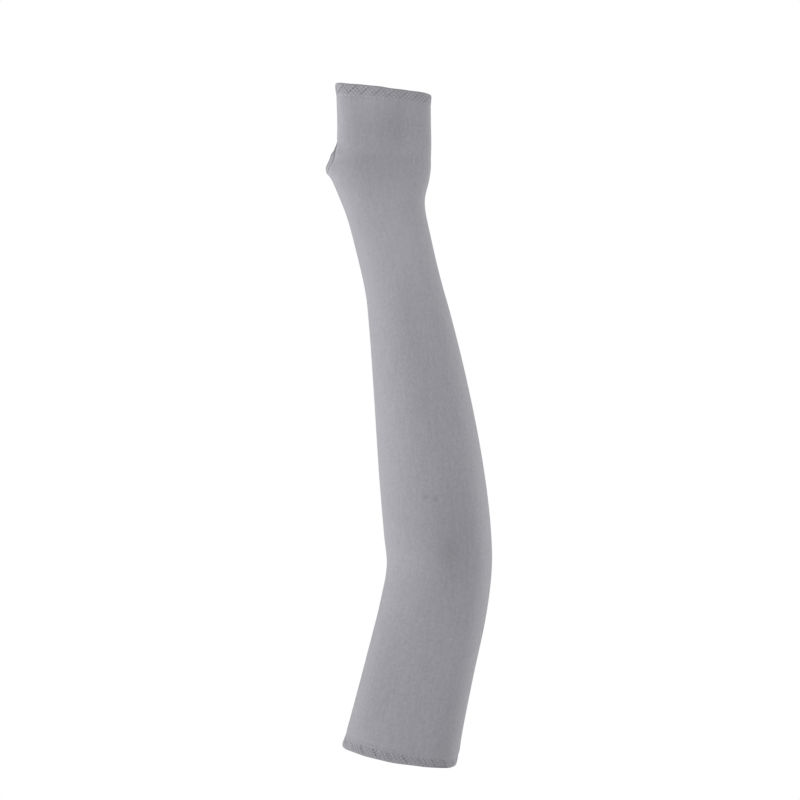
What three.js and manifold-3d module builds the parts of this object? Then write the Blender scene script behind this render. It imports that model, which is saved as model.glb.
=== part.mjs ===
// A cooling arm sleeve for a right arm: a smooth knitted tube that reaches from the upper arm, over a
// slightly bent elbow, to the knuckles. It is hemmed at both ends and round a hole for the thumb.
// Millimetres. +Z runs up the sleeve to the hand, +X to the outer side of the elbow and -Y to the back
// of the hand. The origin is the middle of the upper-arm opening.

import * as THREE from "three";
import { LoftGeometry } from "three/addons/geometries/LoftGeometry.js";
import { mergeVertices } from "three/addons/utils/BufferGeometryUtils.js";
import Module from "manifold-3d";

const KNIT_THICKNESS = 1.0;
const HEM_THICKNESS = 1.8; // the knit folded double and sewn flat
const HEM_HEIGHT = 9;
const THUMB_HEM_WIDTH = 3;
const GAP = 0.3; // between neighbouring pieces

const SIDES = 36; // facets round the sleeve
const LONGEST_STEP = 14; // from one ring of facets to the next
const FEWEST_STEPS = 2; // from one section to the next

// Sections across the sleeve, measured to the middle of the cloth. x, y and z place a section's centre.
// lean tips its outer side up, in degrees. width runs across the arm, and depth from the back of the
// hand to the palm. power shapes the outline: 2 is an ellipse, and more is squarer.
const SECTIONS = [
  { name: "upper-arm opening", x: 0, y: 0, z: 0, lean: -9.5, width: 84, depth: 81, power: 2 },
  { name: "above the opening", x: 4.7, y: 0, z: 22, lean: -11.5, width: 81.5, depth: 79.5, power: 2 },
  { name: "upper arm", x: 14.8, y: -0.5, z: 66, lean: -12.5, width: 78.5, depth: 77, power: 2 },
  { name: "before the elbow", x: 24.8, y: -1, z: 110, lean: -8, width: 77, depth: 74, power: 2 },
  { name: "elbow", x: 28.8, y: -1.5, z: 139.5, lean: 0, width: 76, depth: 72.5, power: 2 },
  { name: "past the elbow", x: 27.4, y: -2, z: 165, lean: 4, width: 77.5, depth: 73, power: 2 },
  { name: "forearm, fullest", x: 23, y: -3, z: 209, lean: 7, width: 76, depth: 72, power: 2 },
  { name: "forearm, middle", x: 15.9, y: -5, z: 264, lean: 8.5, width: 69, depth: 65, power: 2 },
  { name: "forearm, tapering", x: 7.2, y: -7, z: 319, lean: 10.5, width: 59.5, depth: 55, power: 2 },
  { name: "forearm, hollowing", x: 3, y: -8, z: 341, lean: 10.5, width: 55.5, depth: 51, power: 2 },
  { name: "forearm, thinnest", x: -4.8, y: -9, z: 374, lean: 10, width: 54.5, depth: 44.5, power: 2 },
  { name: "wrist", x: -10.7, y: -9.5, z: 399, lean: 6, width: 57, depth: 40, power: 2.1 },
  { name: "heel of the hand", x: -12.8, y: -9.5, z: 409, lean: 2, width: 62, depth: 40, power: 2.2 },
  { name: "thumb's root", x: -14, y: -9, z: 419, lean: 0, width: 69, depth: 40, power: 2.3 },
  { name: "thumb hole, foot", x: -16, y: -9, z: 429, lean: 0, width: 76, depth: 38, power: 2.3 },
  { name: "thumb hole, middle", x: -17.7, y: -9, z: 437, lean: 0, width: 79.5, depth: 36, power: 2.3 },
  { name: "thumb hole, web", x: -11.6, y: -9.5, z: 446, lean: -2, width: 68, depth: 33, power: 2.4 },
  { name: "palm", x: -11.5, y: -10, z: 457, lean: -4, width: 67.5, depth: 31, power: 2.4 },
  { name: "knuckle opening", x: -12.2, y: -10, z: 486.2, lean: -7, width: 68.5, depth: 29, power: 2.4 },
];

// The thumb hole is an oval cut that takes the cap off the swell at the thumb's root. It runs from its
// foot to the web of the thumb, and is turned a little to the palm.
const THUMB_HOLE = {
  foot: new THREE.Vector3(-54.2, -9, 428.8),
  web: new THREE.Vector3(-45.2, -9, 445),
  turnToPalm: THREE.MathUtils.degToRad(5),
  spare: 1.5, // how far the oval runs on past the foot and the web
  width: 28,
  reach: 20, // how far the cut goes outwards
};

const KNIT_COLOUR = 0x9b9aa1;
const HEM_COLOUR = 0x929198;

const wasm = await Module();
wasm.setup();

// Distances of the sections along the sleeve, through their centres.
const distances = [0];
SECTIONS.slice(1).forEach((section, index) => {
  const before = SECTIONS[index];
  const step = Math.hypot(section.x - before.x, section.y - before.y, section.z - before.z);
  distances.push(distances[index] + step);
});
const LENGTH = distances.at(-1);
const WRIST = distances[SECTIONS.findIndex((section) => section.name === "wrist")];

const COLUMNS = ["x", "y", "z", "lean", "width", "depth", "power"];
const sectionValues = SECTIONS.flatMap((section) => COLUMNS.map((column) => section[column]));
const sectionCurve = new THREE.CubicInterpolant(distances, sectionValues, COLUMNS.length);

// One closed outline across the sleeve, moved outwards from the middle of the cloth by outset.
function outlineAt(distance, outset) {
  const [x, y, z, lean, width, depth, power] = sectionCurve.evaluate(distance);
  const across = new THREE.Vector3(1, 0, 0).applyAxisAngle(
    new THREE.Vector3(0, -1, 0),
    THREE.MathUtils.degToRad(lean),
  );
  const bulge = (value) => Math.sign(value) * Math.abs(value) ** (2 / power);
  return Array.from({ length: SIDES }, (_, side) => {
    const angle = (2 * Math.PI * side) / SIDES;
    const point = new THREE.Vector3(x, y, z);
    point.addScaledVector(across, (width / 2 + outset) * bulge(Math.cos(angle)));
    point.y += (depth / 2 + outset) * bulge(Math.sin(angle));
    return point;
  });
}

// Where the rings of facets lie between two distances: at each section, and evenly between sections.
function ringDistances(start, end) {
  const stops = [start, ...distances.filter((distance) => distance > start && distance < end), end];
  const rings = [start];
  stops.slice(1).forEach((stop, index) => {
    const stretch = stop - stops[index];
    const steps = Math.max(FEWEST_STEPS, Math.ceil(stretch / LONGEST_STEP));
    for (let step = 1; step <= steps; step += 1) {
      rings.push(stops[index] + (stretch * step) / steps);
    }
  });
  return rings;
}

// A stretch of the sleeve as a wall: up its outer face, over the edge and down its inner face.
function wall(start, end, thickness) {
  const rings = ringDistances(start, end);
  const outer = rings.map((distance) => outlineAt(distance, thickness / 2));
  const inner = rings.map((distance) => outlineAt(distance, -thickness / 2)).reverse();
  return closed(new LoftGeometry([...outer, ...inner, outer[0]]));
}

// The same geometry with each shared corner held once.
function closed(geometry) {
  const bare = new THREE.BufferGeometry();
  bare.setIndex(geometry.index);
  bare.setAttribute("position", geometry.getAttribute("position"));
  return mergeVertices(bare);
}

function solidOf(geometry) {
  return new wasm.Manifold(
    new wasm.Mesh({
      numProp: 3,
      vertProperties: geometry.getAttribute("position").array,
      triVerts: new Uint32Array(geometry.index.array),
    }),
  );
}

function geometryOf(solid) {
  const { vertProperties, triVerts } = solid.getMesh();
  const geometry = new THREE.BufferGeometry();
  geometry.setAttribute("position", new THREE.BufferAttribute(vertProperties, 3));
  geometry.setIndex(new THREE.BufferAttribute(triVerts, 1));
  return geometry;
}

// The oval plug that the thumb hole takes away, grown by margin sideways and into the sleeve.
function thumbCut(margin) {
  const { foot, web, turnToPalm, spare, width, reach } = THUMB_HOLE;
  const along = web.clone().sub(foot);
  const length = along.length() + 2 * spare;
  along.normalize();
  const outwards = new THREE.Vector3(0, -1, 0).cross(along).applyAxisAngle(along, -turnToPalm);
  const sideways = outwards.clone().cross(along).negate();
  const middle = foot.clone().lerp(web, 0.5);
  const plug = new THREE.CylinderGeometry(1, 1, reach + margin, SIDES);
  plug.scale(length / 2 + margin, 1, width / 2 + margin);
  plug.translate(0, (reach - margin) / 2, 0);
  const placed = new THREE.Matrix4().makeBasis(along, outwards, sideways).setPosition(middle);
  return solidOf(closed(plug.applyMatrix4(placed)));
}

function part(name, geometry, color) {
  geometry.computeVertexNormals();
  const material = new THREE.MeshStandardMaterial({ color, roughness: 0.8, metalness: 0 });
  const mesh = new THREE.Mesh(geometry, material);
  mesh.name = name;
  return mesh;
}

function sleeveTube() {
  const tube = wall(HEM_HEIGHT + GAP, LENGTH - HEM_HEIGHT - GAP, KNIT_THICKNESS);
  const cut = thumbCut(THUMB_HEM_WIDTH + GAP);
  return part("sleeve_tube", geometryOf(solidOf(tube).subtract(cut)), KNIT_COLOUR);
}

function thumbHem() {
  const aroundThumb = wall(WRIST, LENGTH - HEM_HEIGHT - GAP, HEM_THICKNESS);
  const band = solidOf(aroundThumb).intersect(thumbCut(THUMB_HEM_WIDTH)).subtract(thumbCut(0));
  return part("thumb_hem", geometryOf(band), HEM_COLOUR);
}

const sleeve = new THREE.Group();
sleeve.add(
  sleeveTube(),
  part("arm_hem", wall(0, HEM_HEIGHT, HEM_THICKNESS), HEM_COLOUR),
  part("hand_hem", wall(LENGTH - HEM_HEIGHT, LENGTH, HEM_THICKNESS), HEM_COLOUR),
  thumbHem(),
);

export default sleeve;
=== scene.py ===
# The looks of a cooling arm sleeve: a tube of grey stretch knit, sewn with a zigzag hem at each end and
# a small hem round the thumb hole. Sizes are in millimetres, and MM turns them into metres.
import math

import bpy
import numpy as np
from mathutils import Euler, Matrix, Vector


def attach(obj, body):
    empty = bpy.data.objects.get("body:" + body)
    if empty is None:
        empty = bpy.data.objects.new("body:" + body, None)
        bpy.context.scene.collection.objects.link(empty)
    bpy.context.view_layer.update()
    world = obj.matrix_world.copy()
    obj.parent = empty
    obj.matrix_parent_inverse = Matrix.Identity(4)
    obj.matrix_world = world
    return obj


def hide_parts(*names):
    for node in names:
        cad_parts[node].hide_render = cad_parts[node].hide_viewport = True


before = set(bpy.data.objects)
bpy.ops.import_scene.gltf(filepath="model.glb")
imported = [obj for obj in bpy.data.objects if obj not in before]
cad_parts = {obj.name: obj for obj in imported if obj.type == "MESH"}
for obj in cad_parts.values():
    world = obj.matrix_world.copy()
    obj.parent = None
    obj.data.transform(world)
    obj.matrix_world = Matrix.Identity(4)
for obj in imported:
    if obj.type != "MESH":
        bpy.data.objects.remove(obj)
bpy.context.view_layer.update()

# The knitted tube. It is a fine, smooth stretch knit in a cool grey, with a hole cut for the thumb.
# It is cut flat, and stretches to its worn shape, which is given section by section.
MM = 0.001
KNIT_THICKNESS = 1.0
HEM_HEIGHT = 9.0
TUCKED_IN = 3.0  # how far the tube's ends reach into the hems
FACES_AROUND = 160
ARM_ROWS = 180  # rows of faces up to the wrist, and closer ones over the hand
HAND_ROWS = 96
OUTLINE_POINTS = 721  # where a closed outline is measured, two to a degree

# Sections across the sleeve, to the middle of the cloth. lean tips the outer side up, in degrees. power
# shapes the outline: 2 is an ellipse, more is squarer and less more pointed. The thumb's side has a
# power of its own, which holds alone where the cosine of the turn from that side reaches THUMB_POWER_FULL.
THUMB_POWER_FULL = 0.9
SECTIONS = [
    # name, x, y, z, lean, width, depth, power, power at the thumb
    ("upper-arm opening", -0.8, 0, 0, -9.5, 82.4, 80, 2, 2),
    ("above the hem", 2.1, 0, 10, -10.5, 82.9, 80.4, 2, 2),
    ("above the opening", 4.7, 0, 22, -11.5, 81.5, 79.5, 2, 2),
    ("upper arm", 14.8, -0.5, 66, -12.5, 78.5, 77, 2, 2),
    ("before the elbow", 24.8, -1, 110, -8, 77, 74, 2, 2),
    ("elbow", 28.8, -1.5, 139.5, 0, 76, 72.5, 2, 2),
    ("past the elbow", 27.3, -2, 165, 4, 77.3, 73, 2, 2),
    ("forearm, fullest", 22.75, -3, 209, 7, 75.5, 72, 2, 2),
    ("forearm, middle", 15.65, -5, 264, 8.5, 68.5, 65, 2, 2),
    ("forearm, tapering", 6.95, -7, 319, 10.5, 59, 55, 2, 2),
    ("forearm, hollowing", 2.75, -8, 341, 10.5, 55, 51, 2, 2),
    ("forearm, thinnest", -4.8, -9, 374, 10, 54.5, 44.5, 2, 2),
    ("wrist", -10.7, -9.5, 399, 6, 57, 40, 2.1, 2.1),
    ("heel of the hand", -12.8, -9.5, 409, 2, 62, 40, 2.2, 2.1),
    ("thumb's root", -14, -9, 419, 0, 69, 39, 2.3, 2),
    ("thumb hole, foot", -15.8, -9, 429, 0, 75.6, 36, 2.4, 1.7),
    ("thumb hole, middle", -15.15, -9, 437, 0, 74.4, 33.5, 2.5, 1.75),
    ("below the web", -12.8, -9.2, 441, -1, 70, 33.2, 2.6, 2.3),
    ("thumb hole, web", -11.5, -9.5, 445, -2, 67.6, 32.8, 2.7, 2.9),
    ("past the web", -11.5, -9.7, 450, -2.7, 67.7, 32.3, 2.8, 2.8),
    ("palm", -11.5, -10, 457, -4, 67.5, 31.3, 2.8, 2.8),
    ("knuckle opening", -12.2, -10, 486.2, -7, 68.5, 29.5, 2.8, 2.8),
]
section_names = [row[0] for row in SECTIONS]
section_rows = np.array([row[1:] for row in SECTIONS], float)
row_steps = np.linalg.norm(np.diff(section_rows[:, :3], axis=0), axis=1)
row_distances = np.concatenate([[0], np.cumsum(row_steps)])
along_sleeve = dict(zip(section_names, row_distances))
LENGTH = row_distances[-1]


def section_at(distance):
    """The columns of the section at each distance along the sleeve, on a smooth curve through the rows."""
    chords = np.diff(section_rows, axis=0) / row_steps[:, None]
    slopes = np.vstack([chords[:1], (chords[:-1] + chords[1:]) / 2, chords[-1:]])
    row = np.clip(np.searchsorted(row_distances, distance, side="right") - 1, 0, len(row_steps) - 1)
    step = row_steps[row][:, None]
    share = (distance - row_distances[row])[:, None] / step
    return (
        (2 * share**3 - 3 * share**2 + 1) * section_rows[row]
        + (share**3 - 2 * share**2 + share) * step * slopes[row]
        + (3 * share**2 - 2 * share**3) * section_rows[row + 1]
        + (share**3 - share**2) * step * slopes[row + 1]
    )


def rounded(value, power):
    """A sine or cosine, changed so that a circle becomes an outline of that power."""
    return np.sign(value) * np.abs(value) ** (2 / power)


def cloth_middle(angle, distance):
    """Points in the middle of the cloth, at an angle round the sleeve and a distance along it."""
    x, y, z, lean, width, depth, power, thumb_power = section_at(distance).T
    to_thumb = np.clip(-np.cos(angle) / THUMB_POWER_FULL, 0, 1)
    eased = 3 * to_thumb**2 - 2 * to_thumb**3
    power = power + (thumb_power - power) * eased
    across = width / 2 * rounded(np.cos(angle), power)
    through = depth / 2 * rounded(np.sin(angle), power)
    lean = np.radians(lean)
    return np.stack([x + across * np.cos(lean), y + through, z + across * np.sin(lean)], axis=1)


def on_sleeve(angle, distance, outset):
    """Points of the worn sleeve in metres, set out from the middle of the cloth."""
    turn_step = 0.01
    length_step = 0.5
    around = cloth_middle(angle + turn_step, distance) - cloth_middle(angle - turn_step, distance)
    along = cloth_middle(angle, distance + length_step) - cloth_middle(angle, distance - length_step)
    out = np.cross(around, along)
    out /= np.linalg.norm(out, axis=1)[:, None]
    return (cloth_middle(angle, distance) + out * np.reshape(outset, (-1, 1))) * MM


def outline_run(distance):
    """Angles round one section, and how far the cloth has run at each, in millimetres."""
    angle = np.linspace(0, 2 * np.pi, OUTLINE_POINTS)
    outline = cloth_middle(angle, np.full_like(angle, distance))
    steps = np.linalg.norm(np.diff(outline, axis=0), axis=1)
    return angle, np.concatenate([[0], np.cumsum(steps)])


def even_angle(turn, distance):
    """The angle that lies a share of the way round the cloth, so that the knit is spread evenly."""
    angle = np.empty_like(turn)
    for value in np.unique(distance):
        here = distance == value
        angles, run = outline_run(value)
        angle[here] = np.interp(turn[here] * run[-1], run, angles)
    return angle


def points_of(piece):
    places = np.empty(len(piece.data.vertices) * 3, np.float32)
    piece.data.vertices.foreach_get("co", places)
    return places.reshape(-1, 3).astype(float)


def move_points(piece, places):
    piece.data.vertices.foreach_set("co", places.astype(np.float32).ravel())
    piece.data.update()


def flat_cloth(name, faces_around, faces_along):
    """A new flat cloth, one unit each way, with its corner at the origin."""
    bpy.ops.object.select_all(action="DESELECT")
    bpy.ops.mesh.primitive_grid_add(x_subdivisions=faces_around, y_subdivisions=faces_along, size=1)
    cloth = bpy.context.object
    cloth.name = name
    cloth.data.name = name
    places = points_of(cloth)
    places[:, :2] += 0.5
    move_points(cloth, places)
    return cloth


# The pattern of the knit is laid out on a straight tube, which is the sleeve before it is worn.
UNWORN_RADIUS = 38.0


def remember_unworn(cloth, turn, distance):
    """Keeps where each point of the cloth lies on the unworn tube."""
    angle = 2 * np.pi * turn
    places = np.stack([UNWORN_RADIUS * np.cos(angle), UNWORN_RADIUS * np.sin(angle), distance], axis=1)
    unworn = cloth.data.attributes.new("unworn", "FLOAT_VECTOR", "POINT")
    unworn.data.foreach_set("vector", (places * MM).astype(np.float32).ravel())


SEWN_WITHIN = 0.01  # edges this near each other are joined


def sew_edges():
    """Joins the edges of the active, wrapped cloth where they meet, and turns its faces outwards."""
    bpy.ops.object.mode_set(mode="EDIT")
    bpy.ops.mesh.select_all(action="SELECT")
    bpy.ops.mesh.remove_doubles(threshold=SEWN_WITHIN * MM)
    bpy.ops.mesh.normals_make_consistent(inside=False)
    bpy.ops.object.mode_set(mode="OBJECT")
    bpy.ops.object.shade_smooth()


def remember_painted_shading_and_snags(cloth, shade):
    """Keeps the painted light and shade at each point, with the darker snags, as a share of the knit's
    colour.
    """
    attribute = cloth.data.attributes.new("shade", "FLOAT", "POINT")
    attribute.data.foreach_set("value", shade.astype(np.float32))


# The thumb hole takes the cap off the swell at the thumb's root. From the thumb's side it is an oval.
THUMB_SIDE = math.pi  # the angle round the sleeve
THUMB_HOLE_DROP = 0.4  # to the wrist, from the section that is named for the hole's middle
THUMB_HOLE_MIDDLE = along_sleeve["thumb hole, middle"] - THUMB_HOLE_DROP
THUMB_HOLE_Y = -6.4
THUMB_HOLE_HALF_LENGTH = 8.4
BACK_HALF_WIDTH = 7.0  # to the back of the hand
PALM_HALF_WIDTH = 8.0
CLOTH_SLANT = 0.75  # a millimetre of cloth beside the hole reaches this far to the back or the palm
TUBE_CUT_BACK = 0.9  # from the rim, so that the hem covers the tube's edge
HOLE_EDGE_REACH = 1.4  # in sizes of the hole: an open edge within it is the hole's own
ANGLE_HALVINGS = 30


def thumb_sideways(angle, distance):
    """How far the cloth lies to the palm from the thumb hole, and endless on the sleeve's other side."""
    sideways = cloth_middle(angle, distance)[:, 1] - THUMB_HOLE_Y
    return np.where(np.cos(angle) < 0, sideways, np.inf)


def thumb_angle(sideways, distance):
    """The angle at which the cloth lies that far to the palm from the thumb hole, found by halving."""
    low = np.full_like(distance, THUMB_SIDE - math.pi / 2)
    high = np.full_like(distance, THUMB_SIDE + math.pi / 2)
    for _ in range(ANGLE_HALVINGS):
        middle = (low + high) / 2
        too_far = thumb_sideways(middle, distance) > sideways
        low = np.where(too_far, middle, low)
        high = np.where(too_far, high, middle)
    return (low + high) / 2


def thumb_half_width(to_palm, margin):
    """Half the width of the thumb hole grown by margin, on the side of the palm or of the back."""
    return np.where(to_palm > 0, PALM_HALF_WIDTH, BACK_HALF_WIDTH) + CLOTH_SLANT * margin


def beyond_thumb_rim(sideways, distance, margin):
    """Under 1 inside the thumb hole grown by margin, 1 on its rim and more outside."""
    along = (distance - THUMB_HOLE_MIDDLE) / (THUMB_HOLE_HALF_LENGTH + margin)
    return np.hypot(sideways / thumb_half_width(sideways, margin), along)


# Painted light and shade: patches of the knit are painted paler where more light falls and darker where
# shade falls. The two snags past the elbow are real darker marks in the knit.
PAINTED_LIGHT_SHADE_AND_SNAGS = [
    # where, degrees round the sleeve, along the sleeve, spread in degrees, spread along, change
    ("painted shade beside the elbow", 288, along_sleeve["elbow"] + 15, 24, 42, -0.12),
    ("painted shade in a hollow beside the elbow", 278, along_sleeve["elbow"] + 10, 10, 9, -0.08),
    ("painted light over the elbow", 334, along_sleeve["elbow"] + 20, 22, 70, 0.08),
    ("painted light before the wrist", 282, along_sleeve["forearm, thinnest"], 33, 42, 0.2),
    ("painted shade before the elbow", 233, along_sleeve["elbow"] + 40, 22, 35, -0.05),
    ("painted shade along the outer side", 311, 150, 13, 130, -0.05),
    ("painted light before the forearm tapers", 291, along_sleeve["forearm, tapering"] - 12, 14, 40, 0.06),
    ("painted shade inside the upper arm", 231, 50, 22, 65, -0.11),
    ("painted shade outside the upper arm", 320, 0, 20, 70, -0.14),
    ("painted shadow under the rim's fold", 319, 0, 15, 1.3, -0.4),
    ("painted light beside the first knuckle", 205, LENGTH - 25, 30, 40, 0.09),
    ("painted light over the knuckles", 258, LENGTH - 5, 15, 20, 0.1),
    ("painted light at the knuckle rim", 268, LENGTH, 60, 13, 0.06),
    ("painted shade below the knuckles", 278, LENGTH - 28, 10, 22, -0.1),
    ("snag past the elbow", 260.5, along_sleeve["past the elbow"] + 26.6, 2.4, 1.3, -0.23),
    ("smaller snag beside it", 270.8, along_sleeve["past the elbow"] + 25, 2.2, 1.3, -0.26),
]


def painted_light_shade_and_snags_at(angle, distance):
    """The painted light and shade, with the darker snags, at each place, as a share of the knit's colour."""
    tone = np.ones_like(angle)
    for _, degrees, middle, spread, length, change in PAINTED_LIGHT_SHADE_AND_SNAGS:
        aside = (np.degrees(angle) - degrees + 180) % 360 - 180
        tone += change * np.exp(-((aside / spread) ** 2) - ((distance - middle) / length) ** 2)
    return tone


HEM_PINCH = 0.06  # the cloth is drawn in beside the hems, and more so inside them
HEM_PINCH_REACH = 1.2
HEM_TUCK = 0.45
THUMB_RIDGE_FROM_RIM = 5.0  # the cloth puffs up beside the thumb hole's hem, and a painted highlight lies along it
THUMB_RIDGE_REACH = 0.07  # of the hole's size
THUMB_RIDGE_HEIGHT = 0.15
# A painted highlight along the ridge, paler by this share of the knit's colour.
THUMB_RIDGE_PAINTED_HIGHLIGHT = 0.15

knit_tube = flat_cloth("knit_tube", FACES_AROUND, ARM_ROWS + HAND_ROWS)
turn, share = points_of(knit_tube)[:, :2].T
start = HEM_HEIGHT - TUCKED_IN
hand_start = along_sleeve["wrist"]
row_ends = (0, ARM_ROWS / (ARM_ROWS + HAND_ROWS), 1)
distance = np.interp(share, row_ends, (start, hand_start, LENGTH - start))
remember_unworn(knit_tube, turn, distance)
angle = even_angle(turn, distance)
sideways = thumb_sideways(angle, distance)
from_ridge = beyond_thumb_rim(sideways, distance, THUMB_RIDGE_FROM_RIM) - 1
ridge = np.exp(-((from_ridge / THUMB_RIDGE_REACH) ** 2))
# The tube's shade is its painted light and shade with the snags, and the painted highlight along the thumb
# ridge.
remember_painted_shading_and_snags(knit_tube, painted_light_shade_and_snags_at(angle, distance) + THUMB_RIDGE_PAINTED_HIGHLIGHT * ridge)
move_points(knit_tube, np.stack([angle, distance, ridge], axis=1))

# The thumb hole is cut before the cloth is wrapped, and the cut edge is trimmed to the oval.
in_hole = beyond_thumb_rim(sideways, distance, TUBE_CUT_BACK) < 1
bpy.ops.object.mode_set(mode="EDIT")
bpy.ops.mesh.select_mode(type="FACE")
bpy.ops.mesh.select_all(action="DESELECT")
bpy.ops.object.mode_set(mode="OBJECT")
for face in knit_tube.data.polygons:
    face.select = bool(in_hole[list(face.vertices)].any())
bpy.ops.object.mode_set(mode="EDIT")
bpy.ops.mesh.delete(type="FACE")
bpy.ops.mesh.select_mode(type="VERT")
bpy.ops.mesh.select_non_manifold(use_wire=False, use_multi_face=False, use_verts=False)
bpy.ops.object.mode_set(mode="OBJECT")
angle, distance, ridge = points_of(knit_tube).T
sideways = thumb_sideways(angle, distance)
beyond = beyond_thumb_rim(sideways, distance, TUBE_CUT_BACK)
open_edge = np.array([vertex.select for vertex in knit_tube.data.vertices])
hole_edge = open_edge & (beyond < HOLE_EDGE_REACH)
trimmed = sideways[hole_edge] / beyond[hole_edge]
distance[hole_edge] += (THUMB_HOLE_MIDDLE - distance[hole_edge]) * (1 - 1 / beyond[hole_edge])
angle[hole_edge] = thumb_angle(trimmed, distance[hole_edge])

from_hem = np.minimum(distance, LENGTH - distance) - HEM_HEIGHT
pinch = HEM_PINCH * np.exp(-((from_hem / HEM_PINCH_REACH) ** 2)) + HEM_TUCK * np.clip(-from_hem, 0, 1)
move_points(knit_tube, on_sleeve(angle, distance, THUMB_RIDGE_HEIGHT * ridge - pinch))
sew_edges()
cloth = knit_tube.modifiers.new("cloth", "SOLIDIFY")
cloth.thickness = KNIT_THICKNESS * MM
cloth.offset = 0
bpy.ops.object.modifier_apply(modifier=cloth.name)

# The knit has columns of small V-shaped loops along the sleeve, in yarn that varies a little in shade.
# The tops of the loops are painted lighter and the gaps between them darker, as painted light and shade.
KNIT_DARK = (0.29, 0.285, 0.312, 1)
KNIT_LIGHT = (0.37, 0.366, 0.396, 1)
KNIT_SPECULAR = 0.25
KNIT_SHEEN = 0.3
KNIT_SHEEN_ROUGHNESS = 0.35
KNIT_ROUGHNESS = 0.72
ROUGHNESS_SPREAD = 0.12
LOOP_COLUMNS = 432  # round the sleeve
LOOP_HEIGHT = 0.5
LOOP_SWELL = 0.25  # how much each leg of a loop swells and thins
LOOP_RELIEF = 0.09
LOOP_RELIEF_STRENGTH = 0.6
BETWEEN_LOOPS_PAINTED_SHADE = 0.35  # painted shade between the loops, from the dark colour, 0, to the light one, 1
LOOP_TOP_PAINTED_LIGHT = 0.4  # painted light: how much lighter the top of a loop is
STREAKS = 0.85  # how strongly the yarn varies along the columns, and from place to place
MOTTLING = 1.25
STREAK_SCALE = (700, 700, 90)  # patches to the metre, and longer ones along the columns
MOTTLE_SCALE = 500
YARN_DETAIL = 3


def new_material(name):
    """A material, its nodes and its shader."""
    material = bpy.data.materials.new(name)
    material.use_nodes = True
    return material, material.node_tree, material.node_tree.nodes["Principled BSDF"]


def arithmetic(tree, operation, first, second=0.0):
    """One sum of a material. Each term is a number or another node's output."""
    node = tree.nodes.new("ShaderNodeMath")
    node.operation = operation
    for socket, term in zip(node.inputs, (first, second)):
        if isinstance(term, (int, float)):
            socket.default_value = term
        else:
            tree.links.new(term, socket)
    return node.outputs["Value"]


def noise(tree, places, scale, detail):
    texture = tree.nodes.new("ShaderNodeTexNoise")
    texture.inputs["Scale"].default_value = scale
    texture.inputs["Detail"].default_value = detail
    tree.links.new(places, texture.inputs["Vector"])
    return texture.outputs["Fac"]


def blended(tree, dark, light, share):
    mix = tree.nodes.new("ShaderNodeMix")
    mix.data_type = "RGBA"
    mix.inputs["A"].default_value = dark
    mix.inputs["B"].default_value = light
    tree.links.new(share, mix.inputs["Factor"])
    return mix.outputs["Result"]


def add_relief(tree, shader, height, strength, depth):
    relief = tree.nodes.new("ShaderNodeBump")
    relief.inputs["Strength"].default_value = strength
    relief.inputs["Distance"].default_value = depth * MM
    tree.links.new(height, relief.inputs["Height"])
    tree.links.new(relief.outputs["Normal"], shader.inputs["Normal"])


def loop_height(tree, unworn):
    """How high the loops stand. Each column has two legs that meet in a V, and swell once in every row."""
    place = tree.nodes.new("ShaderNodeSeparateXYZ")
    tree.links.new(unworn, place.inputs["Vector"])
    turned = arithmetic(tree, "ARCTAN2", place.outputs["Y"], place.outputs["X"])
    column = arithmetic(tree, "FRACT", arithmetic(tree, "MULTIPLY", turned, LOOP_COLUMNS / (2 * math.pi)))
    from_middle = arithmetic(tree, "ABSOLUTE", arithmetic(tree, "SUBTRACT", column, 0.5))
    leg = arithmetic(tree, "SINE", arithmetic(tree, "MULTIPLY", from_middle, 2 * math.pi))
    row = arithmetic(tree, "DIVIDE", place.outputs["Z"], LOOP_HEIGHT * MM)
    row = arithmetic(tree, "ADD", row, from_middle)
    swell = arithmetic(tree, "SINE", arithmetic(tree, "MULTIPLY", row, 2 * math.pi))
    swell = arithmetic(tree, "ADD", arithmetic(tree, "MULTIPLY", swell, LOOP_SWELL), 1 - LOOP_SWELL)
    return arithmetic(tree, "MULTIPLY", leg, swell)


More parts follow.
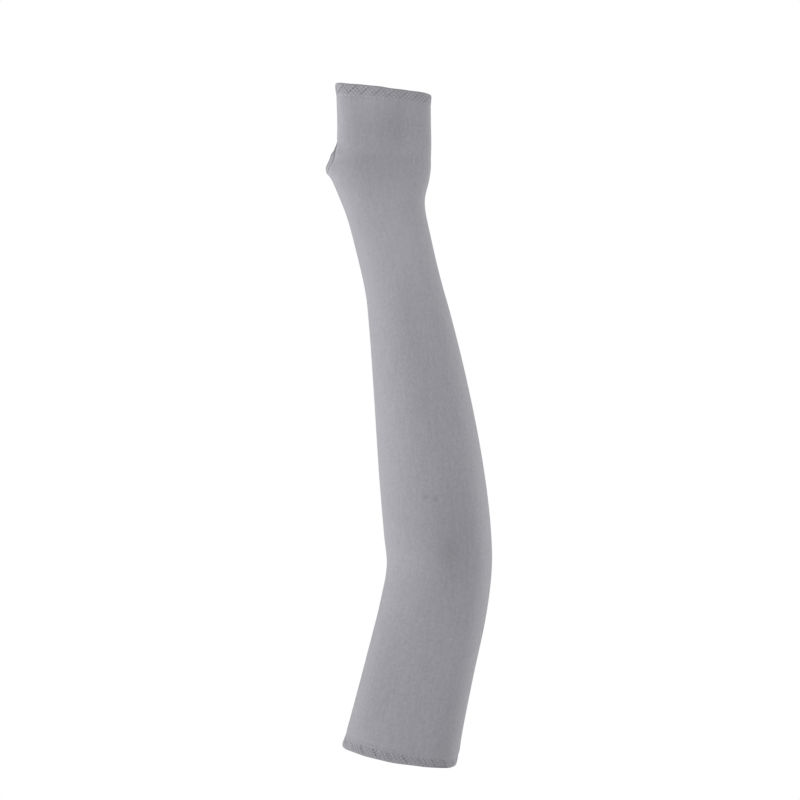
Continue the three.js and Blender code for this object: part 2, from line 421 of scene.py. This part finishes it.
def knit_material(name, dark, light):
    material, tree, shader = new_material(name)
    shader.inputs["Specular IOR Level"].default_value = KNIT_SPECULAR
    shader.inputs["Sheen Weight"].default_value = KNIT_SHEEN
    shader.inputs["Sheen Roughness"].default_value = KNIT_SHEEN_ROUGHNESS

    unworn = tree.nodes.new("ShaderNodeAttribute")
    unworn.attribute_name = "unworn"
    loops = loop_height(tree, unworn.outputs["Vector"])
    along_columns = tree.nodes.new("ShaderNodeMapping")
    along_columns.inputs["Scale"].default_value = STREAK_SCALE
    tree.links.new(unworn.outputs["Vector"], along_columns.inputs["Vector"])
    streaks = noise(tree, along_columns.outputs["Vector"], 1, YARN_DETAIL)
    mottle = noise(tree, unworn.outputs["Vector"], MOTTLE_SCALE, YARN_DETAIL)

    yarn_and_painted_loop_light = arithmetic(tree, "ADD", arithmetic(tree, "MULTIPLY", loops, LOOP_TOP_PAINTED_LIGHT), BETWEEN_LOOPS_PAINTED_SHADE)
    for variation, strength in ((streaks, STREAKS), (mottle, MOTTLING)):
        from_mean = arithmetic(tree, "SUBTRACT", variation, 0.5)
        yarn_and_painted_loop_light = arithmetic(tree, "ADD", yarn_and_painted_loop_light, arithmetic(tree, "MULTIPLY", from_mean, strength))
    # The shade attribute holds the painted light and shade, and the snags, and scales the knit's colour.
    shade = tree.nodes.new("ShaderNodeAttribute")
    shade.attribute_name = "shade"
    shaded = tree.nodes.new("ShaderNodeVectorMath")
    shaded.operation = "SCALE"
    tree.links.new(blended(tree, dark, light, yarn_and_painted_loop_light), shaded.inputs["Vector"])
    tree.links.new(shade.outputs["Fac"], shaded.inputs["Scale"])
    tree.links.new(shaded.outputs["Vector"], shader.inputs["Base Color"])
    roughness = arithmetic(tree, "MULTIPLY", mottle, ROUGHNESS_SPREAD)
    roughness = arithmetic(tree, "ADD", roughness, KNIT_ROUGHNESS)
    tree.links.new(roughness, shader.inputs["Roughness"])
    add_relief(tree, shader, loops, LOOP_RELIEF_STRENGTH, LOOP_RELIEF)
    return material


grey_knit = knit_material("grey_knit", KNIT_DARK, KNIT_LIGHT)
knit_tube.data.materials.append(grey_knit)
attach(knit_tube, "root")
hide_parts("sleeve_tube")

# The hems at the upper arm and the knuckles. At each the knit is folded double to the inside, and an
# elastic zigzag seam, three stitches to a leg, holds the fold and gathers it into small puckers.
HEM_THICKNESS = 1.8
HEM_RIM_OUTSET = 1.05  # of the outer face, from the middle of the cloth
HEM_EDGE_OUTSET = 0.45
HEM_SQUARENESS = 5  # of the fold: 2 is an ellipse, and more is squarer
FOLD_POINTS = 2001  # where the fold is measured, all round
OUTER_FINENESS = 2.5  # the outer face has this many times as many rows of faces as the inner
HEM_FACES_ALONG = 64
RIM_WAVES = ((5, 0.14, 1.0), (11, 0.1, 4.0))  # waves round the rim, height and phase
# A line of painted shade along the rim of each end hem.
RIM_PAINTED_SHADE = 0.12
RIM_PAINTED_SHADE_REACH = 0.7
PUCKER_SPACING = 3.1
PUCKER_HEIGHT = 0.2
# The puckers' crests are painted lighter and their hollows darker, as painted light and shade.
PUCKER_PAINTED_LIGHT_AND_SHADE = 0.13
# Painted shade over the gathered band of the hem.
GATHERED_PAINTED_SHADE = 0.07
GATHERED_BEYOND = 1.4  # how far the gathers reach past the seam
GATHERED_FADE = 0.4
STITCHES_PER_LEG = 3
STITCH_SHARE = 0.74  # of the way from one needle hole to the next
THREAD_WIDTH = 0.4
THREAD_ARCH = 0.12
THREAD_RISE = THREAD_WIDTH / 4  # of the thread above the floor of its groove
# The grooves and needle holes are drawn in, and painted darker as painted shade.
GROOVE_DEPTH = 0.22
GROOVE_REACH = 0.45
GROOVE_PAINTED_SHADE = 0.16
HOLE_DEPTH = 0.3
HOLE_REACH = 0.45
HOLE_PAINTED_SHADE = 0.2
SLACK_PULL = 0.35  # the thread pulls less on the legs that lead away from the rim
TENSION_POWER = 4  # how quickly the thread slackens away from where it is tightest


def folded_edge(share, width):
    """Round a folded hem, from its rim over the outer face and back inside: the distance from the rim, how
    far the cloth faces out, 1, or in, -1, and how far it has run."""
    angle = np.linspace(0, 2 * np.pi, FOLD_POINTS)
    facing = rounded(np.sin(angle), HEM_SQUARENESS)
    from_rim = width / 2 * (1 - rounded(np.cos(angle), HEM_SQUARENESS))
    steps = np.hypot(np.diff(from_rim), np.diff(facing) * HEM_THICKNESS / 2)
    run = np.concatenate([[0], np.cumsum(steps)])
    shares = np.concatenate([[0], np.cumsum(steps * np.where(facing[1:] > 0, OUTER_FINENESS, 1))])
    shares /= shares[-1]
    return [np.interp(share, shares, column) for column in (from_rim, facing, run)]


def hem_face(from_rim, width, rim_outset, edge_outset):
    """How far out a hem's outer face lies, between its rim and its other edge."""
    return rim_outset + (edge_outset - rim_outset) * np.sin(np.pi / 2 * from_rim / width) ** 2


def zigzag_needles(girth, repeats, start, near, far, first_leg, stitches_per_leg):
    """Where the needle goes in, round the hem and from its rim. first_leg is the share of a repeat that
    the leg away from the rim takes."""
    corner = np.arange(2 * repeats + 1)
    corner_around = start + girth / repeats * (corner // 2 + first_leg * (corner % 2))
    corner_from_rim = np.where(corner % 2 == 0, near, far)
    needle = np.arange(2 * repeats * stitches_per_leg + 1) / stitches_per_leg
    around = np.interp(needle, corner, corner_around)
    return np.stack([around, np.interp(needle, corner, corner_from_rim)], axis=1)


def stitch_pulls(needles, girth, tightest, slackest):
    """How hard each stitch pulls. tightest is the share of the way round where the thread is tightest, and
    slackest the pull on the other side."""
    near = (1 + np.cos(2 * np.pi * (needles[:-1, 0] / girth - tightest))) / 2
    tension = slackest + (1 - slackest) * near**TENSION_POWER
    return tension * np.where(np.diff(needles[:, 1]) > 0, SLACK_PULL, 1)


def stitch_marks(around, from_rim, needles, girth, pulls):
    """How far the stitches draw a hem's outer face in at each point, and the painted shade in their grooves
    and needle holes.
    """
    groove = np.zeros(len(around))
    hole = np.zeros(len(around))
    for first, second, pull in zip(needles[:-1], needles[1:], pulls):
        sideways = (around - first[0] + girth / 2) % girth - girth / 2
        place = np.stack([sideways, from_rim - first[1]], axis=1)
        leg = second - first
        share = np.clip(place @ leg / (leg @ leg), 0, 1)
        to_thread = np.linalg.norm(place - share[:, None] * leg, axis=1)
        to_needle = np.linalg.norm(place, axis=1)
        groove = np.maximum(groove, pull * np.exp(-((to_thread / GROOVE_REACH) ** 2)))
        hole = np.maximum(hole, pull * np.exp(-((to_needle / HOLE_REACH) ** 2)))
    return np.array([GROOVE_DEPTH * groove + HOLE_DEPTH * hole, GROOVE_PAINTED_SHADE * groove + HOLE_PAINTED_SHADE * hole])


# One stitch of thread is modelled about one unit long, along Z, and one unit in radius.
STITCH_SIDES = 8
STITCH_BODY = 0.7  # the length of its even part
STITCH_BENDS = (-0.18, 0, 0.18)  # where the even part is cut, so that it can arch
STITCH_TIP = 0.12  # the length of each tapered tip
STITCH_TIP_SCALE = 0.5
TIP_FACING = 0.9  # a face that looks this much along Z or more is an end


def model_stitch():
    """The places of the stitch's corners, and its faces."""
    bpy.ops.object.select_all(action="DESELECT")
    bpy.ops.mesh.primitive_cylinder_add(vertices=STITCH_SIDES, radius=1, depth=STITCH_BODY)
    stitch = bpy.context.object
    bpy.ops.object.mode_set(mode="EDIT")
    for height in STITCH_BENDS:
        bpy.ops.mesh.select_all(action="SELECT")
        bpy.ops.mesh.bisect(plane_co=(0, 0, height), plane_no=(0, 0, 1))
    bpy.ops.mesh.select_mode(type="FACE")
    for end in (-1, 1):
        bpy.ops.mesh.select_all(action="DESELECT")
        bpy.ops.object.mode_set(mode="OBJECT")
        for face in stitch.data.polygons:
            face.select = face.normal.z * end > TIP_FACING
        bpy.ops.object.mode_set(mode="EDIT")
        bpy.ops.mesh.extrude_region_move(TRANSFORM_OT_translate={"value": (0, 0, STITCH_TIP * end)})
        bpy.ops.transform.resize(value=(STITCH_TIP_SCALE, STITCH_TIP_SCALE, 1))
    bpy.ops.object.mode_set(mode="OBJECT")
    places = points_of(stitch)
    faces = [list(face.vertices) for face in stitch.data.polygons]
    bpy.data.objects.remove(stitch)
    return places, faces


stitch_places, stitch_faces = model_stitch()


def sew(name, needles, lie):
    """Rows of stitches from needle to needle, on the outer and the inner face of a hem. lie takes places
    round the hem, from its rim, above the cloth and on which face, and returns points of the worn sleeve."""
    starts = needles[:-1, None, :]
    legs = np.diff(needles, axis=0)[:, None, :]
    sideways = np.stack([-legs[..., 1], legs[..., 0]], axis=2) / np.linalg.norm(legs, axis=2, keepdims=True)
    side, height, along = stitch_places.T
    flat = starts + legs * (0.5 + STITCH_SHARE * along)[None, :, None]
    flat = flat + sideways * (side * THREAD_WIDTH / 2)[None, :, None]
    above = height * THREAD_WIDTH / 2 + THREAD_ARCH * (1 - (2 * along) ** 2)
    above = np.broadcast_to(above, flat.shape[:2]).ravel()
    around, from_rim = flat.reshape(-1, 2).T
    places = np.concatenate([lie(around, from_rim, above, face) for face in (1, -1)])
    corners = len(stitch_places)
    copies = len(places) // corners
    faces = [[corner + corners * copy for corner in face] for copy in range(copies) for face in stitch_faces]
    mesh = bpy.data.meshes.new(name)
    mesh.from_pydata(places.tolist(), [], faces)
    stitches = bpy.data.objects.new(name, mesh)
    bpy.context.scene.collection.objects.link(stitches)
    bpy.ops.object.select_all(action="DESELECT")
    stitches.select_set(True)
    bpy.context.view_layer.objects.active = stitches
    bpy.ops.object.mode_set(mode="EDIT")
    bpy.ops.mesh.select_all(action="SELECT")
    bpy.ops.mesh.normals_make_consistent(inside=False)
    bpy.ops.object.mode_set(mode="OBJECT")
    bpy.ops.object.shade_smooth()
    return stitches


def thread_outset(outer, above, face):
    """The outset of a thread that lies in its groove on the outer face, 1, or the inner face, -1."""
    in_groove = above - GROOVE_DEPTH + THREAD_RISE
    return outer + in_groove if face > 0 else -HEM_THICKNESS / 2 - above


# The thread is a little glossier than the knit, and its fibres vary in shade.
PALE_THREAD = (0.42, 0.416, 0.444)
MID_THREAD = (0.34, 0.336, 0.36)
THREAD_ROUGHNESS = 0.55
THREAD_SHEEN = 0.1
FIBRE_SCALE = 3000  # patches to the metre
FIBRE_DETAIL = 2
FIBRE_DARK = 0.8  # of the thread's colour
FIBRE_LIGHT = 1.2
FIBRE_RELIEF = 0.05
FIBRE_RELIEF_STRENGTH = 0.4


def thread_material(name, colour):
    material, tree, shader = new_material(name)
    shader.inputs["Roughness"].default_value = THREAD_ROUGHNESS
    shader.inputs["Sheen Weight"].default_value = THREAD_SHEEN
    coordinates = tree.nodes.new("ShaderNodeTexCoord")
    fibres = noise(tree, coordinates.outputs["Object"], FIBRE_SCALE, FIBRE_DETAIL)
    dark = [FIBRE_DARK * part for part in colour] + [1]
    light = [FIBRE_LIGHT * part for part in colour] + [1]
    tree.links.new(blended(tree, dark, light, fibres), shader.inputs["Base Color"])
    add_relief(tree, shader, fibres, FIBRE_RELIEF_STRENGTH, FIBRE_RELIEF)
    return material


pale_thread = thread_material("pale_grey_thread", PALE_THREAD)
mid_thread = thread_material("mid_grey_thread", MID_THREAD)

END_HEMS = [
    # name, node, rim, way in, faces around, zigzag repeats, start, near, far, first leg's share, where the
    # thread is tightest, its pull where it is slackest, thread
    ("upper_arm", "arm_hem", 0, 1, 1150, 23, -2.5, 1.5, 5.8, 0.57, 0, 1, pale_thread),
    ("knuckle", "hand_hem", LENGTH, -1, 800, 18, 3.8, 1.4, 6.6, 0.31, 0.56, 0.4, mid_thread),
]


def end_hem(
    name, node, rim, way_in, faces_around, repeats, start, near, far, first_leg, tightest, slackest, thread
):
    """Makes one end hem and its stitches, and returns both pieces."""
    middle = rim + way_in * HEM_HEIGHT / 2
    girth = outline_run(middle)[1][-1]
    needles = zigzag_needles(girth, repeats, start, near, far, first_leg, STITCHES_PER_LEG)
    pulls = stitch_pulls(needles, girth, tightest, slackest)

    def place(around, from_rim, outset):
        """Points of the worn hem. Its rim runs a little unevenly, as sewn hems do."""
        turn = around / girth % 1
        angle = even_angle(turn, np.full_like(turn, middle))
        wave = sum(high * np.sin(2 * np.pi * waves * turn + phase) for waves, high, phase in RIM_WAVES)
        return on_sleeve(angle, rim + way_in * (from_rim + wave * (1 - from_rim / HEM_HEIGHT)), outset)

    def lie(around, from_rim, above, face):
        outer = hem_face(from_rim, HEM_HEIGHT, HEM_RIM_OUTSET, HEM_EDGE_OUTSET)
        return place(around, from_rim, thread_outset(outer, above, face))

    hem = flat_cloth(name + "_hem", faces_around, HEM_FACES_ALONG)
    turn, share = points_of(hem)[:, :2].T
    from_rim, facing, run = folded_edge(share, HEM_HEIGHT)
    outside = np.clip(facing, 0, 1)
    drawn_in, painted_shade = outside * stitch_marks(turn * girth, from_rim, needles, girth, pulls)
    gathered = outside / (1 + np.exp((from_rim - far - GATHERED_BEYOND) / GATHERED_FADE))
    pucker = np.cos(2 * np.pi * round(girth / PUCKER_SPACING) * turn)
    pucker *= gathered * np.cos(2 * np.pi * from_rim / PUCKER_SPACING)
    outer = hem_face(from_rim, HEM_HEIGHT, HEM_RIM_OUTSET, HEM_EDGE_OUTSET)
    outer += PUCKER_HEIGHT * pucker - drawn_in
    outset = facing * np.where(facing > 0, outer, HEM_THICKNESS / 2)
    # The hem's shade: painted shade at the rim, in the stitch grooves and needle holes and over the gathers,
    # painted light and shade on the puckers, and the knit's painted light and shade.
    rim_painted_shade = RIM_PAINTED_SHADE * np.exp(-((from_rim / RIM_PAINTED_SHADE_REACH) ** 2))
    shade = 1 - rim_painted_shade - painted_shade - GATHERED_PAINTED_SHADE * gathered + PUCKER_PAINTED_LIGHT_AND_SHADE * pucker
    angle = even_angle(turn, np.full_like(turn, middle))
    remember_unworn(hem, turn, rim + way_in * run)
    remember_painted_shading_and_snags(hem, shade * painted_light_shade_and_snags_at(angle, rim + way_in * from_rim))
    move_points(hem, place(turn * girth, from_rim, outset))
    sew_edges()
    hem.data.materials.append(grey_knit)
    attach(hem, "root")
    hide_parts(node)

    stitches = sew(name + "_stitches", needles, lie)
    stitches.data.materials.append(thread)
    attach(stitches, "root")
    return [hem, stitches]


hem_pieces = []
for row in END_HEMS:
    hem_pieces += end_hem(*row)

# The hem round the thumb hole. It is a narrow turned edge of the same knit, held by a small zigzag
# between two lines that are drawn in, one near the rim and one near the hem's other edge. The two lines
# have painted shade, the strip between them has painted light, and towards the web of the thumb it has
# painted shade.
THUMB_HEM_WIDTH = 4.6
THUMB_WEB_NARROWING = 0.2
THUMB_RIM_OUTSET = 0.9
THUMB_EDGE_OUTSET = 1.0
THUMB_HEM_FACES_AROUND = 420
THUMB_HEM_FACES_ALONG = 40
THUMB_ZIGZAGS = 24
THUMB_STITCHES_NEAR = 1.5
THUMB_STITCHES_FAR = 3.5
THUMB_MARKS = 0.2  # of the marks that the stitches make on the end hems
THUMB_SEAM_LINES = ((0.8, 0.65), (4.1, 0.5))  # from the rim, and how much painted shade darkens each line
SEAM_LINE_REACH = 0.45
SEAM_LINE_DEPTH = 0.12
THUMB_STRIP_PAINTED_LIGHT = 0.2  # painted light: the strip between the lines is painted paler
# Painted shade towards the web of the thumb, where the thumb would shade it.
THUMB_WEB_PAINTED_SHADE = 0.45
THUMB_WEB_PAINTED_SHADE_POWER = 3  # how closely the painted shade keeps to the web
JUST_UNDER_ONE = 1 - 1e-9  # keeps the end of the run round the hole from counting as its start


def web_share(share):
    """How near the web of the thumb, 1, or its foot, 0, a share of the way round the thumb hole is."""
    return (1 - np.cos(2 * np.pi * share)) / 2


def round_thumb(share, from_rim):
    """The angle and distance on the sleeve, a share of the way round the thumb hole from its foot."""
    to_web = -np.cos(2 * np.pi * share)
    to_palm = -np.sin(2 * np.pi * share)
    outwards = from_rim * (1 - THUMB_WEB_NARROWING * web_share(share))
    distance = THUMB_HOLE_MIDDLE + (THUMB_HOLE_HALF_LENGTH + outwards) * to_web
    return thumb_angle(thumb_half_width(to_palm, outwards) * to_palm, distance), distance


def thumb_hem_face(from_rim):
    """How far out the thumb hem's outer face lies, between its rim and its other edge."""
    return hem_face(from_rim, THUMB_HEM_WIDTH, THUMB_RIM_OUTSET, THUMB_EDGE_OUTSET)


shares = np.linspace(0, 1, OUTLINE_POINTS)
hem_line = cloth_middle(*round_thumb(shares, np.full_like(shares, THUMB_HEM_WIDTH / 2)))
thumb_run = np.concatenate([[0], np.cumsum(np.linalg.norm(np.diff(hem_line, axis=0), axis=1))])
thumb_girth = thumb_run[-1]


def place_on_thumb_hem(around, from_rim, outset):
    """Points of the worn hem, a run in millimetres round the thumb hole."""
    angle, distance = round_thumb(np.interp(around % thumb_girth, thumb_run, shares), from_rim)
    return on_sleeve(angle, distance, outset)


needles = zigzag_needles(
    thumb_girth, THUMB_ZIGZAGS, 0, THUMB_STITCHES_NEAR, THUMB_STITCHES_FAR, first_leg=0.5, stitches_per_leg=1
)
thumb_hem = flat_cloth("thumb_hole_hem", THUMB_HEM_FACES_AROUND, THUMB_HEM_FACES_ALONG)
turn, share = points_of(thumb_hem)[:, :2].T
around = turn * thumb_girth * JUST_UNDER_ONE
round_share = np.interp(around, thumb_run, shares)
from_rim, facing, _ = folded_edge(share, THUMB_HEM_WIDTH)
marks = stitch_marks(around, from_rim, needles, thumb_girth, np.full(len(needles) - 1, THUMB_MARKS))
drawn_in, painted_shade = np.clip(facing, 0, 1) * marks
for line, line_painted_shade in THUMB_SEAM_LINES:
    sunk = np.clip(facing, 0, 1) * np.exp(-(((from_rim - line) / SEAM_LINE_REACH) ** 2))
    drawn_in += SEAM_LINE_DEPTH * sunk
    painted_shade += line_painted_shade * sunk
outset = facing * np.where(facing > 0, thumb_hem_face(from_rim) - drawn_in, HEM_THICKNESS / 2)
angle, distance = round_thumb(round_share, from_rim)
remember_unworn(thumb_hem, angle / (2 * np.pi), distance)
web_painted_shade = THUMB_WEB_PAINTED_SHADE * web_share(round_share) ** THUMB_WEB_PAINTED_SHADE_POWER
remember_painted_shading_and_snags(thumb_hem, 1 + THUMB_STRIP_PAINTED_LIGHT - web_painted_shade - painted_shade)
move_points(thumb_hem, place_on_thumb_hem(around, from_rim, outset))
sew_edges()
thumb_hem.data.materials.append(grey_knit)
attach(thumb_hem, "root")
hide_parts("thumb_hem")


def lie_on_thumb_hem(around, from_rim, above, face):
    return place_on_thumb_hem(around, from_rim, thread_outset(thumb_hem_face(from_rim), above, face))


thumb_stitches = sew("thumb_hole_stitches", needles, lie_on_thumb_hem)
thumb_stitches.data.materials.append(mid_thread)
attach(thumb_stitches, "root")
hem_pieces += [thumb_hem, thumb_stitches]

# The studio, in metres: a pale floor well below the sleeve, a white surround, and soft lights on the left,
# in front and behind on the right. The surround is seen brighter than it shines, as a lit backdrop is.
FLOOR_RADIUS = 1.42
FLOOR_HEIGHT = -0.35
FLOOR_SIDES = 128
FLOOR_COLOUR = (0.82, 0.82, 0.83, 1)
FLOOR_ROUGHNESS = 0.9
bpy.ops.object.select_all(action="DESELECT")
bpy.ops.mesh.primitive_circle_add(
    vertices=FLOOR_SIDES, radius=FLOOR_RADIUS, fill_type="NGON", location=(0, 0, FLOOR_HEIGHT)
)
floor = bpy.context.object
floor.name = "floor"
floor_paint, _, floor_shader = new_material("pale_floor")
floor_shader.inputs["Base Color"].default_value = FLOOR_COLOUR
floor_shader.inputs["Roughness"].default_value = FLOOR_ROUGHNESS
floor.data.materials.append(floor_paint)

SURROUND_COLOUR = (1, 1, 1, 1)
SURROUND_SHINE = 0.51
surround = bpy.data.worlds.new("white_surround")
surround.use_nodes = True
ray = surround.node_tree.nodes.new("ShaderNodeLightPath")
strength = surround.node_tree.nodes.new("ShaderNodeMapRange")
strength.inputs["To Min"].default_value = SURROUND_SHINE
surround.node_tree.links.new(ray.outputs["Is Camera Ray"], strength.inputs["Value"])
background = surround.node_tree.nodes["Background"]
background.inputs["Color"].default_value = SURROUND_COLOUR
surround.node_tree.links.new(strength.outputs["Result"], background.inputs["Strength"])
bpy.context.scene.world = surround
bpy.context.scene.view_settings.view_transform = "Standard"

LIGHT_SIZE = 1.2
LIGHT_REACH = 2.2
LIGHT_AIM = Vector((0, 0, 0.25))
SOFT_LIGHTS = [
    # name, degrees to the right of the camera, degrees up, watts
    ("left_light", -95, -15, 45),
    ("front_light", 0, -15, 24.1),
    ("back_light", 120, 15, 24.1),
]
for name, right, up, watts in SOFT_LIGHTS:
    turned = Euler((math.radians(90 - up), 0, math.radians(right)))
    away = turned.to_matrix() @ Vector((0, 0, LIGHT_REACH))
    bpy.ops.object.light_add(type="AREA", location=LIGHT_AIM + away, rotation=turned)
    light = bpy.context.object
    light.name = name
    light.data.size = LIGHT_SIZE
    light.data.energy = watts
    light.visible_camera = False

# The camera looks level at the back of the hand, from far enough to keep the sleeve's lines straight.
CAMERA_PLACE = (0, -1.7, 0.2602)
CAMERA_LENS = 104.4
CAMERA_SENSOR = 36
bpy.ops.object.camera_add(location=CAMERA_PLACE, rotation=(math.radians(90), 0, 0))
camera = bpy.context.object
camera.data.sensor_width = CAMERA_SENSOR
camera.data.lens = CAMERA_LENS
bpy.context.scene.camera = camera
